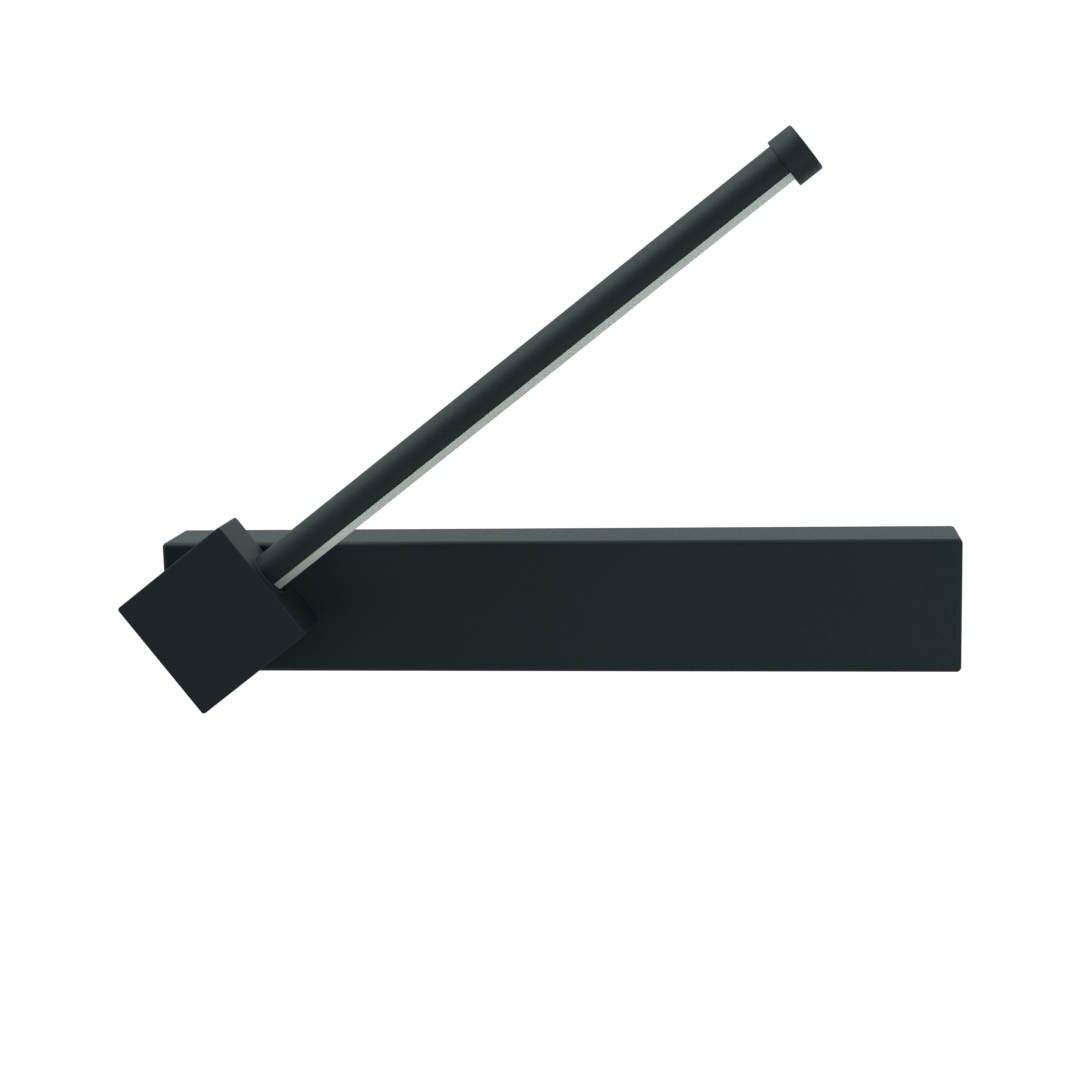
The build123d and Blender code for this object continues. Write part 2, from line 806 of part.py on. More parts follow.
def make_disc_springs():
    # A pair of cones, back to back.
    hole = spindle_radius + loose_clearance
    cone = turned(
        (hole, 0),
        (hole, disc_spring_thickness),
        (disc_spring_radius, disc_spring_height),
        (disc_spring_radius, disc_spring_cone),
    )
    upper = Pos(0, 0, disc_spring_level + disc_spring_height) * cone
    lower = Pos(0, 0, disc_spring_level + disc_spring_height) * mirror(cone, about=Plane.XY)
    return [upper, lower]


def make_thrust_washer():
    hole = spindle_radius + loose_clearance
    washer = disc(thrust_washer_radius, thrust_washer_level, disc_spring_level)
    return washer - disc(hole, thrust_washer_level, disc_spring_level)


def make_spindle_nut(level):
    return hex_nut(spindle_nut_width, spindle_nut_height, spindle_radius + fastener_clearance, level)


def make_pivot_lead():
    # Up through the spindle and round into the tube's axis.
    return wire(
        lead_radius,
        ((0, 0, spindle_level), (0, 0, tube_level), (journal_start, 0, tube_level)),
        (journal_start - turning_gap,),
    )


# Seat of the tube in the block, in the arm's place

def make_tube_bush():
    bore = tube_radius + running_clearance
    outside = bore + tube_bush_wall
    end = seat_outer_x - loose_clearance
    bush = rod(outside, seat_inner_x, end) - rod(bore, seat_inner_x, end)
    bush -= disc(stop_screw_tip_radius + loose_clearance, -outside, 0, stop_screw_x)
    return Pos(0, 0, tube_level) * bush


def make_roll_stop_screw():
    thread_top = tube_level - tube_radius - running_clearance - tube_bush_wall
    tip_top = tube_level - tube_radius + stop_groove_depth - turning_gap
    low = back_plate_front + loose_clearance
    screw = disc(screw_radius, low, thread_top, stop_screw_x)
    return screw + disc(stop_screw_tip_radius, thread_top, tip_top, stop_screw_x)


# Tube, about its own axis along x with its opening down

def spigot_section():
    clear = fastener_clearance
    upper = Circle(tube_radius - tube_wall - clear) & strip(tube_radius, channel_floor + clear, tube_radius)
    return upper + strip(lead_channel / 2 - clear, clear - web_level, channel_floor + tube_wall)


def make_tube_journal():
    journal = rod(tube_radius, journal_start, tube_start)
    ring_slot = rod(tube_radius, ring_x - fastener_clearance, ring_x + ring_thickness + fastener_clearance)
    journal -= ring_slot - rod(tube_radius - ring_groove_depth, journal_start, tube_start)
    half = stop_screw_tip_radius + loose_clearance
    stop_slot = rod(tube_radius, stop_screw_x - half, stop_screw_x + half)
    stop_slot -= rod(tube_radius - stop_groove_depth, journal_start, tube_start)
    rib = stop_rib_width / 2
    stop_slot -= slab(journal_start, tube_start, -rib, rib, 0, tube_radius)
    journal -= stop_slot
    half = o_ring_section / 2 + loose_clearance
    o_ring_slot = rod(tube_radius, o_ring_x - half, o_ring_x + half)
    journal -= o_ring_slot - rod(tube_radius - o_ring_section, journal_start, tube_start)
    journal += along_tube(spigot_section(), tube_start, spigot_end)
    return journal - rod(journal_bore_radius, journal_start, spigot_end)


def make_journal_ring():
    inside = tube_radius - ring_groove_depth + fastener_clearance
    ring = Circle(ring_radius) - Circle(inside) - Pos(ring_radius / 2, 0) * Rectangle(ring_radius, ring_gap)
    return along_tube(ring, ring_x, ring_x + ring_thickness)


def make_roll_o_ring():
    middle = tube_radius - o_ring_section / 2 + glued_clearance
    return Pos(o_ring_x, 0, 0) * Rot(0, 90, 0) * Torus(middle, o_ring_section / 2)


def profile_section():
    clear = loose_clearance
    section = Circle(tube_radius) & strip(tube_radius, -tube_open_level, tube_radius)
    section -= Circle(tube_radius - tube_wall) & strip(tube_radius, channel_floor, tube_radius)
    section -= strip(lead_channel / 2, -web_level, channel_floor)
    leg_outer = diffuser_leg_inner + diffuser_leg
    section -= strip(leg_outer + clear, -tube_radius, -board_level)
    groove_top = clear - diffuser_leg_top
    hook_low = -diffuser_leg_top - diffuser_hook_height - clear
    for side in (-1, 1):
        middle = side * (diffuser_leg_inner + leg_outer) / 2
        section -= Pos(middle, 0) * strip(diffuser_leg / 2 + clear, -board_level, groove_top)
        pocket = side * (leg_outer + diffuser_hook / 2)
        section -= Pos(pocket, 0) * strip(diffuser_hook / 2 + clear, hook_low, groove_top)
    return section


def make_tube_profile():
    profile = along_tube(profile_section(), tube_start, tube_end)
    half = core_spacing / 2 + core_radius + loose_clearance
    slot_start = spigot_end + 2 * core_bend
    return profile - slab(slot_start, board_start, -board_level, channel_floor, -half, half)


def diffuser_section():
    top = tube_open_level + diffuser_gap
    cover = Circle(tube_radius) & strip(tube_radius, -diffuser_level, -top)
    inside = diffuser_wall - diffuser_level
    cover -= Circle(tube_radius - diffuser_wall) & strip(tube_radius, inside, -top - diffuser_wall)
    cover -= strip(diffuser_leg_inner, -top - diffuser_wall, -top)
    hook_low = -diffuser_leg_top - diffuser_hook_height
    for side in (-1, 1):
        leg = side * (diffuser_leg_inner + diffuser_leg / 2)
        cover += Pos(leg, 0) * strip(diffuser_leg / 2, -top - diffuser_wall / 2, -diffuser_leg_top)
        hook = side * (diffuser_leg_inner + diffuser_leg + diffuser_hook / 2)
        cover += Pos(hook, 0) * strip(diffuser_hook / 2, hook_low, -diffuser_leg_top)
    return cover


def make_diffuser():
    return along_tube(diffuser_section(), diffuser_start, tube_end)


def make_led_board():
    half = board_width / 2
    end = tube_end - board_end_gap
    return slab(board_start, end, -board_level - board_thickness, -board_level, -half, half)


def make_led_chips():
    high = -board_level - board_thickness
    chips = []
    x = board_start + chip_margin
    while x < tube_end - board_end_gap - chip_length:
        long, wide = chip_length / 2, chip_width / 2
        chips.append(slab(x - long, x + long, high - chip_height, high, -wide, wide))
        x += chip_pitch
    return chips


def make_tube_lead():
    return rod(lead_radius, journal_start, spigot_end + core_bend)


def make_board_wires():
    # Two cores from the lead through the web to the face of the board.
    start = spigot_end + core_bend
    drop = board_start - core_radius - loose_clearance
    landing = -board_level - board_thickness - core_radius
    cores = []
    for z in (-core_spacing / 2, core_spacing / 2):
        route = ((start, 0, z), (drop, 0, z), (drop, landing, z), (board_start + core_landing, landing, z))
        cores.append(wire(core_radius, route, (core_bend, core_bend)))
    return cores


def make_end_cap():
    cap = rod(cap_radius, cap_start, cap_end)
    cap = fillet(cap.edges().sort_by(Axis.X)[-1], cap_edge_radius)
    cap = fillet(cap.edges().sort_by(Axis.X)[0], cap_mouth_radius)
    bore = Circle(tube_radius + glued_clearance)
    bore &= strip(tube_radius * 2, -diffuser_level - glued_clearance, tube_radius * 2)
    return cap - along_tube(bore, cap_start, tube_end)


# Places of the three bodies

def on_wall(piece):
    return Rot(90, 0, 0) * piece


def on_arm(piece):
    return on_wall(Pos(pivot_x, 0, 0) * Rot(0, 0, arm_angle) * piece)


def on_tube(piece):
    return on_arm(Pos(0, 0, tube_level) * piece)


live_pole, neutral_pole = terminal_poles()[:2]
live_exit, neutral_exit = driver_wire_places()

wall_pieces = {
    "housing": make_housing(),
    "housing_screws": make_housing_screws(),
    "wall_bracket": make_wall_bracket(),
    "cable_grommet": make_cable_grommet(),
    "driver_base": make_driver_base(),
    "driver_lid": make_driver_lid(),
    "driver_board": make_driver_board(),
    "driver_transformer": make_driver_transformer(),
    "driver_capacitors": make_driver_capacitors(),
    "driver_studs": make_driver_studs(),
    "driver_nuts": make_driver_nuts(),
    "terminal_block": make_terminal_block(),
    "terminal_screws": make_terminal_screws(),
    "terminal_fixings": make_terminal_fixings(),
    "earth_screw": make_earth_screw(),
    "earth_lug": make_earth_lug(),
    "live_wire": make_mains_wire(live_pole, live_exit),
    "neutral_wire": make_mains_wire(neutral_pole, neutral_exit),
    "earth_wire": make_earth_wire(),
    "driver_lead": make_driver_lead(),
    "pivot_plate": make_pivot_plate(),
    "pivot_bush": make_pivot_bush(),
    "stop_pin": make_stop_pin(),
}

arm_pieces = {
    "block_casting": make_block_casting(),
    "block_back_plate": make_block_back_plate(),
    "back_plate_screws": make_back_plate_screws(),
    "pivot_spindle": make_pivot_spindle(),
    "friction_washer": make_friction_washer(),
    "stop_washer": make_stop_washer(),
    "disc_springs": make_disc_springs(),
    "thrust_washer": make_thrust_washer(),
    "spindle_nut": make_spindle_nut(spindle_nut_level),
    "lock_nut": make_spindle_nut(lock_nut_level),
    "pivot_lead": make_pivot_lead(),
    "tube_bush": make_tube_bush(),
    "roll_stop_screw": make_roll_stop_screw(),
}

tube_pieces = {
    "tube_journal": make_tube_journal(),
    "journal_ring": make_journal_ring(),
    "roll_o_ring": make_roll_o_ring(),
    "tube_profile": make_tube_profile(),
    "diffuser": make_diffuser(),
    "led_board": make_led_board(),
    "led_chips": make_led_chips(),
    "tube_lead": make_tube_lead(),
    "board_wires": make_board_wires(),
    "end_cap": make_end_cap(),
}

os.makedirs("parts", exist_ok=True)
for pieces, place in ((wall_pieces, on_wall), (arm_pieces, on_arm), (tube_pieces, on_tube)):
    for name, piece in pieces.items():
        solids = piece if isinstance(piece, list) else [piece]
        placed = [place(solid) for solid in solids]
        export_step(Compound(children=placed) if len(placed) > 1 else placed[0], f"parts/{name}.step")
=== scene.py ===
import json
import math
import bmesh
import bpy
from mathutils import Matrix, Vector

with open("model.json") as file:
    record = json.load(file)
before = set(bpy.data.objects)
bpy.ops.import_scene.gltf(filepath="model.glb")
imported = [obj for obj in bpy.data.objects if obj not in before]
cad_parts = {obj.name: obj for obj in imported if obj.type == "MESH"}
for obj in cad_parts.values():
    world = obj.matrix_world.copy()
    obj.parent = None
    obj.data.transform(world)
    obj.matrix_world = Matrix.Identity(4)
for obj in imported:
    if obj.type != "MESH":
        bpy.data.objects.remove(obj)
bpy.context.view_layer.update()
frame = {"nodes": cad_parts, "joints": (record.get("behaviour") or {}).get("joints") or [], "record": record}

nodes = frame["nodes"]
joints = {joint["name"]: joint for joint in frame["joints"]}
print("frame:", len(nodes), "nodes")


# Node helpers

def newFinish(name):
    finish = bpy.data.materials.new(name)
    finish.use_nodes = True
    return finish, finish.node_tree, finish.node_tree.nodes["Principled BSDF"]


def setInputs(node, values):
    for socket, value in values.items():
        node.inputs[socket].default_value = value


def addNode(tree, kind, inputs=None, **settings):
    node = tree.nodes.new(kind)
    for key, value in settings.items():
        setattr(node, key, value)
    setInputs(node, inputs or {})
    return node


def objectCoords(tree):
    return addNode(tree, "ShaderNodeTexCoord").outputs["Object"]


def addNoise(tree, coords, size, detail=2.0, roughness=0.5):
    # size is the width of one blotch, in metres
    noise = addNode(tree, "ShaderNodeTexNoise", {
        "Scale": 1 / size, "Detail": detail, "Roughness": roughness})
    tree.links.new(coords, noise.inputs["Vector"])
    return noise.outputs["Fac"]


def ramp(tree, factor, low, high, fromLow=0.3, fromHigh=0.7):
    # spreads a stretch of the factor, by default the middle of a noise, over a range of values
    node = addNode(tree, "ShaderNodeMapRange", {
        "From Min": fromLow, "From Max": fromHigh, "To Min": low, "To Max": high})
    tree.links.new(factor, node.inputs["Value"])
    return node.outputs["Result"]


def mixColor(tree, factor, low, high):
    node = addNode(tree, "ShaderNodeMix", data_type="RGBA")
    for socket, value in (("A", low), ("B", high)):
        plug = [s for s in node.inputs if s.name == socket and s.type == "RGBA"][0]
        if isinstance(value, bpy.types.NodeSocket):
            tree.links.new(value, plug)
        else:
            plug.default_value = (*value, 1)
    tree.links.new(factor, node.inputs["Factor"])
    return [s for s in node.outputs if s.type == "RGBA"][0]


def addBump(tree, shader, height, strength, depth, after=None):
    node = addNode(tree, "ShaderNodeBump", {"Strength": strength, "Distance": depth})
    tree.links.new(height, node.inputs["Height"])
    if after:
        tree.links.new(after, node.inputs["Normal"])
    tree.links.new(node.outputs["Normal"], shader.inputs["Normal"])
    return node.outputs["Normal"]


def stretch(tree, coords, scale):
    node = addNode(tree, "ShaderNodeVectorMath", {1: scale}, operation="MULTIPLY")
    tree.links.new(coords, node.inputs[0])
    return node.outputs["Vector"]


def fromPoint(tree, coords, point):
    node = addNode(tree, "ShaderNodeVectorMath", {1: point}, operation="SUBTRACT")
    tree.links.new(coords, node.inputs[0])
    return node.outputs["Vector"]


def lengthOf(tree, vector):
    node = addNode(tree, "ShaderNodeVectorMath", operation="LENGTH")
    tree.links.new(vector, node.inputs[0])
    return node.outputs["Value"]


def turnedCoords(tree, coords, centre):
    # distance from the pivot's axis and depth along it, so that a noise makes lathe marks
    reach = lengthOf(tree, stretch(tree, fromPoint(tree, coords, centre), (1, 0, 1)))
    split = addNode(tree, "ShaderNodeSeparateXYZ")
    tree.links.new(coords, split.inputs["Vector"])
    pair = addNode(tree, "ShaderNodeCombineXYZ")
    tree.links.new(reach, pair.inputs["X"])
    tree.links.new(split.outputs["Y"], pair.inputs["Y"])
    return pair.outputs["Vector"]


def alongArm(tree, coords):
    # distance from the pivot, measured along the arm
    roll = joints["tube_roll"]
    outward = [-part for part in roll["axis"]]
    along = addNode(tree, "ShaderNodeVectorMath", {1: outward}, operation="DOT_PRODUCT")
    tree.links.new(fromPoint(tree, coords, roll["pos_m"]), along.inputs[0])
    return along.outputs["Value"]


def acrossArm(tree, coords):
    # leaves out the way along the arm, so that a noise makes lines along the strip
    axis = joints["tube_roll"]["axis"]
    along = addNode(tree, "ShaderNodeVectorMath", {1: axis}, operation="PROJECT")
    tree.links.new(coords, along.inputs[0])
    remainder = addNode(tree, "ShaderNodeVectorMath", operation="SUBTRACT")
    tree.links.new(coords, remainder.inputs[0])
    tree.links.new(along.outputs["Vector"], remainder.inputs[1])
    return remainder.outputs["Vector"]


def bevelNormal(tree, radius, samples):
    return addNode(tree, "ShaderNodeBevel", {"Radius": radius}, samples=samples).outputs["Normal"]


def edgeMask(tree, width, share):
    # rises along sharp edges, nothing on flat ground
    match = addNode(tree, "ShaderNodeVectorMath", operation="DOT_PRODUCT")
    tree.links.new(bevelNormal(tree, width, samples=4), match.inputs[0])
    tree.links.new(addNode(tree, "ShaderNodeNewGeometry").outputs["Normal"], match.inputs[1])
    return ramp(tree, match.outputs["Value"], share, 0, fromLow=0.75, fromHigh=0.98)


# Matt black powder coat, in one tone on the sheet housing, one on the block and a lighter one on the tube
# that is painted light

coats = {
    "sheetCoat": {
        "dark": (0.0028, 0.0046, 0.0080),
        "light": (0.0052, 0.0078, 0.0120),
        "tint": (0.80, 1.0, 0.97),
        "edgeShare": 0.5,
        "edgeTone": (0.014, 0.017, 0.021),
    },
    "castCoat": {
        "dark": (0.0026, 0.0038, 0.0066),
        "light": (0.0046, 0.0064, 0.0100),
        "tint": (0.86, 0.96, 1.0),
        # on the block the lighter edges are mostly a painted highlight, over a little edge wear
        "edgeShare": 0.9,
        "edgeTone": (0.026, 0.030, 0.034),
        "softEdge": 0.0016,  # softens the shading of the block's edges
        "band": "beadPaintedHighlight",
    },
    # the tube and its cap get the housing's coat in lighter tones: painted light
    "tubePaintedLightCoat": {
        "dark": (0.0050, 0.0068, 0.0102),
        "light": (0.0074, 0.0100, 0.0142),
        "tint": (0.80, 1.0, 0.97),
        "edgeShare": 0.5,
        "edgeTone": (0.014, 0.017, 0.021),
        "band": "tubeRootPaintedShade",
    },
}
# a second tone over a stretch of the arm, measured from the pivot: a painted highlight round the block's
# seat, painted shade on the tube next to the block
coatBands = {
    "beadPaintedHighlight": {  # painted highlight round the tube's seat
        "tone": (0.026, 0.030, 0.034),
        "share": (0, 0.8),
        "reach": (0.0253, 0.0255),
    },
    "tubeRootPaintedShade": {  # painted shade on the tube next to the block
        "tone": (0.0012, 0.0022, 0.0060),
        "share": (0.9, 0),
        "reach": (0.0254, 0.060),
    },
}
coatGrain = {
    "peel": 0.00055,  # orange peel
    "peelBump": (0.35, 0.00008),
    "grain": 0.00016,
    "grainBump": (0.25, 0.00004),
    "cloud": 0.05,
    "cloudShare": 0.35,
    "roughness": (0.57, 0.67),
    "specular": 0.30,
    "edgeWidth": 0.0004,
}


def makeCoat(name):
    finish, tree, shader = newFinish(name)
    tone = coats[name]
    coords = objectCoords(tree)
    peel = addNoise(tree, coords, coatGrain["peel"])
    grain = addNoise(tree, coords, coatGrain["grain"], detail=3.0, roughness=0.6)
    cloud = addNoise(tree, coords, coatGrain["cloud"], detail=3.0)
    speck = mixColor(tree, ramp(tree, grain, 0, 1), tone["dark"], tone["light"])
    clouded = mixColor(tree, ramp(tree, cloud, 0, coatGrain["cloudShare"]), speck, tone["light"])
    # lighter along sharp edges: edge wear, and on the block also a painted highlight
    edgeLightened = edgeMask(tree, coatGrain["edgeWidth"], tone["edgeShare"])
    color = mixColor(tree, edgeLightened, clouded, tone["edgeTone"])
    # painted highlight round the seat on the block's coat, painted shade next to the block on the tube's
    # coat
    if "band" in tone:
        band = coatBands[tone["band"]]
        share = ramp(tree, alongArm(tree, coords), *band["share"], *band["reach"])
        color = mixColor(tree, share, color, band["tone"])
    rounded = bevelNormal(tree, tone["softEdge"], samples=6) if "softEdge" in tone else None
    tree.links.new(color, shader.inputs["Base Color"])
    tree.links.new(ramp(tree, peel, *coatGrain["roughness"]), shader.inputs["Roughness"])
    first = addBump(tree, shader, peel, *coatGrain["peelBump"], rounded)
    addBump(tree, shader, grain, *coatGrain["grainBump"], first)
    setInputs(shader, {"Specular IOR Level": coatGrain["specular"], "Specular Tint": (*tone["tint"], 1)})
    return finish


# Frosted diffuser, with painted shade next to the block

opal = {
    "base": (0.52, 0.535, 0.492),
    "mottle": (0.49, 0.504, 0.463),
    "cloud": 0.03,
    "frost": 0.00012,
    "frostBump": (0.10, 0.00003),
    "dieLine": 0.0005,  # extrusion marks along the strip
    "dieLineBump": (0.15, 0.00003),
    "roughness": (0.42, 0.58),
    # painted shade next to the block
    "rootShade": 0.42,
    "rootReach": (0.0254, 0.0584),  # along the arm, from the pivot
    "scatter": 0.25,
    "scatterTint": (1.0, 1.0, 0.9),
    "scatterDepth": 0.0015,
}


def makeOpal():
    finish, tree, shader = newFinish("frostedOpal")
    coords = objectCoords(tree)
    frost = addNoise(tree, coords, opal["frost"])
    cloud = addNoise(tree, coords, opal["cloud"])
    dieLines = addNoise(tree, acrossArm(tree, coords), opal["dieLine"], detail=3.0, roughness=0.6)
    pale = mixColor(tree, ramp(tree, cloud, 0, 1), opal["base"], opal["mottle"])
    # painted shade: darker next to the block
    shade = ramp(tree, alongArm(tree, coords), opal["rootShade"], 1, *opal["rootReach"])
    tree.links.new(mixColor(tree, shade, (0, 0, 0), pale), shader.inputs["Base Color"])
    tree.links.new(ramp(tree, frost, *opal["roughness"]), shader.inputs["Roughness"])
    first = addBump(tree, shader, dieLines, *opal["dieLineBump"])
    addBump(tree, shader, frost, *opal["frostBump"], first)
    setInputs(shader, {
        "Subsurface Weight": opal["scatter"],
        "Subsurface Radius": opal["scatterTint"],
        "Subsurface Scale": opal["scatterDepth"],
    })
    return finish


# Zinc-plated sheet with rolling streaks

zinc = {
    "base": (0.50, 0.52, 0.55),
    "streak": (0.41, 0.43, 0.47),
    "streakBump": (0.12, 0.00002),
    "rolling": (0.02, 1, 1),
    "grain": 0.00035,
    "speckBump": (0.08, 0.00002),
    "haze": (0.47, 0.47, 0.44),  # yellowish bloom of the plating
    "hazeSize": 0.018,
    "hazeShare": 0.45,
    "edge": (0.66, 0.67, 0.68),
    "edgeMask": (0.0003, 0.8),
    "roughness": (0.30, 0.46),
}


def makeZinc():
    finish, tree, shader = newFinish("zincSteel")
    coords = objectCoords(tree)
    rolling = stretch(tree, coords, zinc["rolling"])
    streak = addNoise(tree, rolling, zinc["grain"], detail=4.0, roughness=0.65)
    speck = addNoise(tree, coords, zinc["grain"], detail=3.0, roughness=0.6)
    haze = addNoise(tree, coords, zinc["hazeSize"], detail=4.0, roughness=0.6)
    rolled = mixColor(tree, ramp(tree, streak, 0, 1), zinc["base"], zinc["streak"])
    bloom = ramp(tree, haze, 0, zinc["hazeShare"], fromLow=0.4, fromHigh=0.75)
    hazed = mixColor(tree, bloom, rolled, zinc["haze"])
    edgeLightened = mixColor(tree, edgeMask(tree, *zinc["edgeMask"]), hazed, zinc["edge"])
    tree.links.new(edgeLightened, shader.inputs["Base Color"])
    tree.links.new(ramp(tree, speck, *zinc["roughness"]), shader.inputs["Roughness"])
    first = addBump(tree, shader, streak, *zinc["streakBump"])
    addBump(tree, shader, speck, *zinc["speckBump"], first)
    setInputs(shader, {"Metallic": 1.0})
    return finish


# Turned steel with lathe marks round the pivot

turned = {
    "base": (0.52, 0.52, 0.53),
    "ring": (0.36, 0.36, 0.37),
    "mark": 0.00022,
    "markBump": (0.30, 0.00003),
    "smear": 0.002,
    "edge": (0.68, 0.68, 0.68),
    "edgeMask": (0.0002, 0.8),
    "roughness": (0.20, 0.40),
}


def makeTurned():
    finish, tree, shader = newFinish("turnedSteel")
    coords = objectCoords(tree)
    lathe = turnedCoords(tree, coords, joints["arm_swing"]["pos_m"])
    rings = addNoise(tree, lathe, turned["mark"], detail=3.0, roughness=0.7)
    smear = addNoise(tree, coords, turned["smear"], detail=3.0)
    marked = mixColor(tree, ramp(tree, rings, 0, 1), turned["base"], turned["ring"])
    edgeLightened = mixColor(tree, edgeMask(tree, *turned["edgeMask"]), marked, turned["edge"])
    tree.links.new(edgeLightened, shader.inputs["Base Color"])
    tree.links.new(ramp(tree, smear, *turned["roughness"]), shader.inputs["Roughness"])
    addBump(tree, shader, rings, *turned["markBump"])
    setInputs(shader, {"Metallic": 1.0})
    return finish


# Earth wire, striped

earthWire = {
    "green": (0.05, 0.28, 0.05),
    "yellow": (0.72, 0.60, 0.05),
    "bandScale": 60.0,
    "roughness": 0.42,
}


def makeEarthWire():
    finish, tree, shader = newFinish("earthWire")
    bands = addNode(tree, "ShaderNodeTexWave", {
        "Scale": earthWire["bandScale"], "Distortion": 0.0}, bands_direction="DIAGONAL")
    tree.links.new(objectCoords(tree), bands.inputs["Vector"])
    stripe = ramp(tree, bands.outputs["Fac"], 0, 1, fromLow=0.45, fromHigh=0.55)
    striped = mixColor(tree, stripe, earthWire["green"], earthWire["yellow"])
    tree.links.new(striped, shader.inputs["Base Color"])
    setInputs(shader, {"Roughness": earthWire["roughness"]})
    return finish


# Plain metals, plastics and rubber: name, two tones, range of roughness, width of the grain

plainFinishes = {
    "spring_steel": ("springSteel", (0.10, 0.10, 0.11), (0.07, 0.07, 0.075), (0.30, 0.46), 0.0003),
    "brass": ("brass", (0.72, 0.55, 0.24), (0.62, 0.46, 0.19), (0.25, 0.42), 0.0004),
    "black_nylon": ("blackNylon", (0.018, 0.019, 0.020), (0.026, 0.027, 0.028), (0.42, 0.58), 0.0003),
    "white_nylon": ("whiteNylon", (0.78, 0.77, 0.72), (0.74, 0.73, 0.68), (0.35, 0.5), 0.0004),
    "white_plastic": ("whitePlastic", (0.80, 0.80, 0.78), (0.76, 0.76, 0.74), (0.4, 0.55), 0.0005),
    "rubber": ("rubber", (0.020, 0.020, 0.020), (0.030, 0.030, 0.031), (0.6, 0.75), 0.0004),
    "black_anodised": ("blackAnodised", (0.006, 0.007, 0.010), (0.008, 0.009, 0.012), (0.45, 0.6), 0.0003),
    "green_board": ("greenBoard", (0.03, 0.16, 0.06), (0.05, 0.22, 0.09), (0.3, 0.45), 0.002),
    "white_board": ("whiteBoard", (0.82, 0.82, 0.80), (0.78, 0.78, 0.76), (0.3, 0.4), 0.001),
    "chip": ("phosphor", (0.86, 0.72, 0.20), (0.80, 0.62, 0.14), (0.25, 0.4), 0.0005),
    "ferrite": ("tapedCore", (0.06, 0.06, 0.065), (0.10, 0.09, 0.05), (0.4, 0.6), 0.001),
    "can": ("canSleeve", (0.05, 0.06, 0.12), (0.07, 0.08, 0.14), (0.3, 0.45), 0.001),
    "brown_wire": ("brownWire", (0.16, 0.07, 0.03), (0.20, 0.09, 0.04), (0.35, 0.5), 0.001),
    "blue_wire": ("blueWire", (0.03, 0.09, 0.36), (0.05, 0.12, 0.42), (0.35, 0.5), 0.001),
    "black_wire": ("blackWire", (0.02, 0.02, 0.02), (0.03, 0.03, 0.03), (0.35, 0.5), 0.001),
    "white_wire": ("whiteWire", (0.74, 0.74, 0.72), (0.68, 0.68, 0.66), (0.35, 0.5), 0.001),
}
plainMetals = ("spring_steel", "brass")
plainGrain = {
    "cloudWidth": 30,  # in widths of the grain
    "metalBump": (0.08, 0.00003),
    "plasticBump": (0.12, 0.00003),
}


def makePlain(slot):
    name, base, shade, roughness, grain = plainFinishes[slot]
    metal = slot in plainMetals
    finish, tree, shader = newFinish(name)
    coords = objectCoords(tree)
    fine = addNoise(tree, coords, grain, detail=4.0, roughness=0.6)
    cloud = addNoise(tree, coords, grain * plainGrain["cloudWidth"], detail=3.0)
    clouded = mixColor(tree, ramp(tree, cloud, 0, 1), base, shade)
    tree.links.new(clouded, shader.inputs["Base Color"])
    tree.links.new(ramp(tree, fine, *roughness), shader.inputs["Roughness"])
    addBump(tree, shader, fine, *plainGrain["metalBump" if metal else "plasticBump"])
    setInputs(shader, {"Metallic": 1.0 if metal else 0.0})
    return finish


# Each piece gets the finish of its slot, the tube and its cap a lighter coat of their own that is painted
# light

finishes = {slot: makePlain(slot) for slot in plainFinishes}
finishes["black_paint"] = makeCoat("sheetCoat")
finishes["black_aluminium"] = makeCoat("castCoat")
finishes["zinc_steel"] = makeZinc()
finishes["steel"] = makeTurned()
finishes["opal"] = makeOpal()
finishes["earth_wire"] = makeEarthWire()
tubePaintedLightCoat = makeCoat("tubePaintedLightCoat")
tubePieces = ("tube_profile", "end_cap")
for subpart in frame["record"]["subparts"]:
    piece = subpart["node"]
    slots = nodes[piece].data.materials
    slots.clear()
    slots.append(tubePaintedLightCoat if piece in tubePieces else finishes[subpart["material_slot"]])
print("finishes:", len(finishes))


# Camera, in the photo's place

camera = {
    "place": (0.07650, -0.77212, 0.15248),
    "yaw": math.radians(6.277),
    "pitch": math.radians(9.651),
    "roll": math.radians(-1.353),
    "lens": 67.769,
    "sensor": 36.0,
    "nearest": 0.01,
}


def addCamera():
    yaw, pitch, roll = camera["yaw"], camera["pitch"], camera["roll"]
    forward = Vector((-math.sin(yaw) * math.cos(pitch), math.cos(yaw) * math.cos(pitch), -math.sin(pitch)))
    level = Vector((math.cos(yaw), math.sin(yaw), 0))
    upright = level.cross(forward)
    right = math.cos(roll) * level + math.sin(roll) * upright
    up = math.cos(roll) * upright - math.sin(roll) * level
    data = bpy.data.cameras.new("photoCamera")
    data.lens = camera["lens"]
    data.sensor_width = camera["sensor"]
    data.clip_start = camera["nearest"]
    holder = bpy.data.objects.new("photoCamera", data)
    bpy.context.scene.collection.objects.link(holder)
    turn = Matrix((right, up, -forward)).transposed().to_4x4()
    holder.matrix_world = Matrix.Translation(camera["place"]) @ turn
    bpy.context.scene.camera = holder


addCamera()
print("camera set")


# Floor, surround and lights

studio = {
    "floorLevel": -1.6,
    "floorSize": 5.0,
    "floorCells": 8,
    "floorFade": (0.2, 0.5),  # it fades out between these shares of its size
    "floorTone": (0.90, 0.79, 0.81),  # reads neutral under the cool light
    "floorRoughness": 0.9,
    "front": 0.10,  # level of the surround on the camera's side
    "back": 1.22,
    "blend": 0.5,  # half the stretch in which one level runs into the other
    "white": 1.05,  # the background that the camera sees
    "tint": (0.86, 1.0, 0.97),
}
softboxes = {
    "topSoftbox": {"place": (-0.7, -0.18, 1.2), "aim": (0, -0.02, 0.05), "size": 1.1, "power": 22.0},
    "leftSoftbox": {"place": (-1.6, -1.7, -0.5), "aim": (0, -0.03, 0.06), "size": 1.5, "power": 11.0},
    "rightSoftbox": {"place": (1.15, -0.40, 0.85), "aim": (-0.05, -0.03, 0), "size": 0.5, "power": 5.0},
    "frontSoftbox": {"place": (0.75, -1.4, -0.45), "aim": (0.08, -0.03, 0.05), "size": 0.8, "power": 10.5},
}


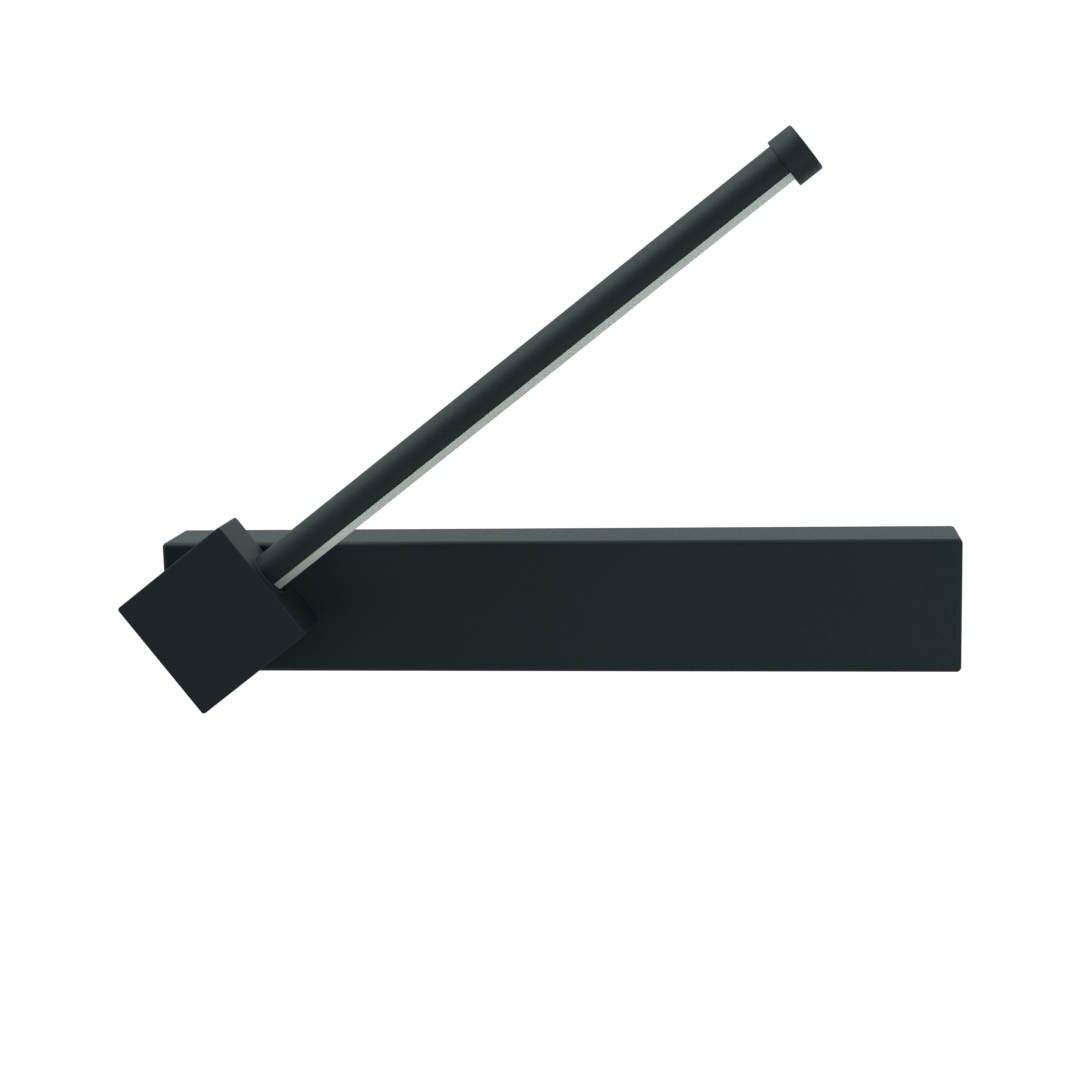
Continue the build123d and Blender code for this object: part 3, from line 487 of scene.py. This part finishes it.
def addFloor():
    cells, size = studio["floorCells"], studio["floorSize"]
    bm = bmesh.new()
    bmesh.ops.create_grid(bm, x_segments=cells, y_segments=cells, size=size / 2)
    bmesh.ops.translate(bm, vec=(0, 0, studio["floorLevel"]), verts=bm.verts)
    mesh = bpy.data.meshes.new("floor")
    bm.to_mesh(mesh)
    bm.free()
    floor = bpy.data.objects.new("floor", mesh)
    bpy.context.scene.collection.objects.link(floor)
    finish, tree, shader = newFinish("paleFloor")
    setInputs(shader, {"Base Color": (*studio["floorTone"], 1), "Roughness": studio["floorRoughness"]})
    reach = lengthOf(tree, stretch(tree, objectCoords(tree), (1, 1, 0)))
    fadeStart, fadeEnd = [share * size for share in studio["floorFade"]]
    tree.links.new(ramp(tree, reach, 1, 0, fadeStart, fadeEnd), shader.inputs["Alpha"])
    mesh.materials.append(finish)


def setSurround():
    world = bpy.data.worlds.new("studio")
    bpy.context.scene.world = world
    world.use_nodes = True
    tree = world.node_tree
    tree.nodes.clear()
    direction = addNode(tree, "ShaderNodeTexCoord").outputs["Generated"]
    split = addNode(tree, "ShaderNodeSeparateXYZ")
    tree.links.new(direction, split.inputs["Vector"])
    level = addNode(tree, "ShaderNodeMapRange", {
        "From Min": -studio["blend"], "From Max": studio["blend"],
        "To Min": studio["front"], "To Max": studio["back"]}, interpolation_type="SMOOTHSTEP")
    tree.links.new(split.outputs["Y"], level.inputs["Value"])
    light = addNode(tree, "ShaderNodeBackground", {"Color": (*studio["tint"], 1)})
    tree.links.new(level.outputs["Result"], light.inputs["Strength"])
    white = addNode(tree, "ShaderNodeBackground", {"Color": (1, 1, 1, 1), "Strength": studio["white"]})
    mix = addNode(tree, "ShaderNodeMixShader")
    tree.links.new(addNode(tree, "ShaderNodeLightPath").outputs["Is Camera Ray"], mix.inputs["Fac"])
    tree.links.new(light.outputs["Background"], mix.inputs[1])
    tree.links.new(white.outputs["Background"], mix.inputs[2])
    tree.links.new(mix.outputs["Shader"], addNode(tree, "ShaderNodeOutputWorld").inputs["Surface"])


def addSoftbox(name, place, aim, size, power):
    data = bpy.data.lights.new(name, "AREA")
    data.shape = "SQUARE"
    data.size = size
    data.energy = power
    data.color = studio["tint"]
    lamp = bpy.data.objects.new(name, data)
    bpy.context.scene.collection.objects.link(lamp)
    lamp.location = place
    lamp.rotation_euler = (Vector(aim) - Vector(place)).to_track_quat("-Z", "Y").to_euler()


addFloor()
setSurround()
for name, box in softboxes.items():
    addSoftbox(name, **box)
bpy.context.scene.view_settings.view_transform = "Standard"
print("studio set")
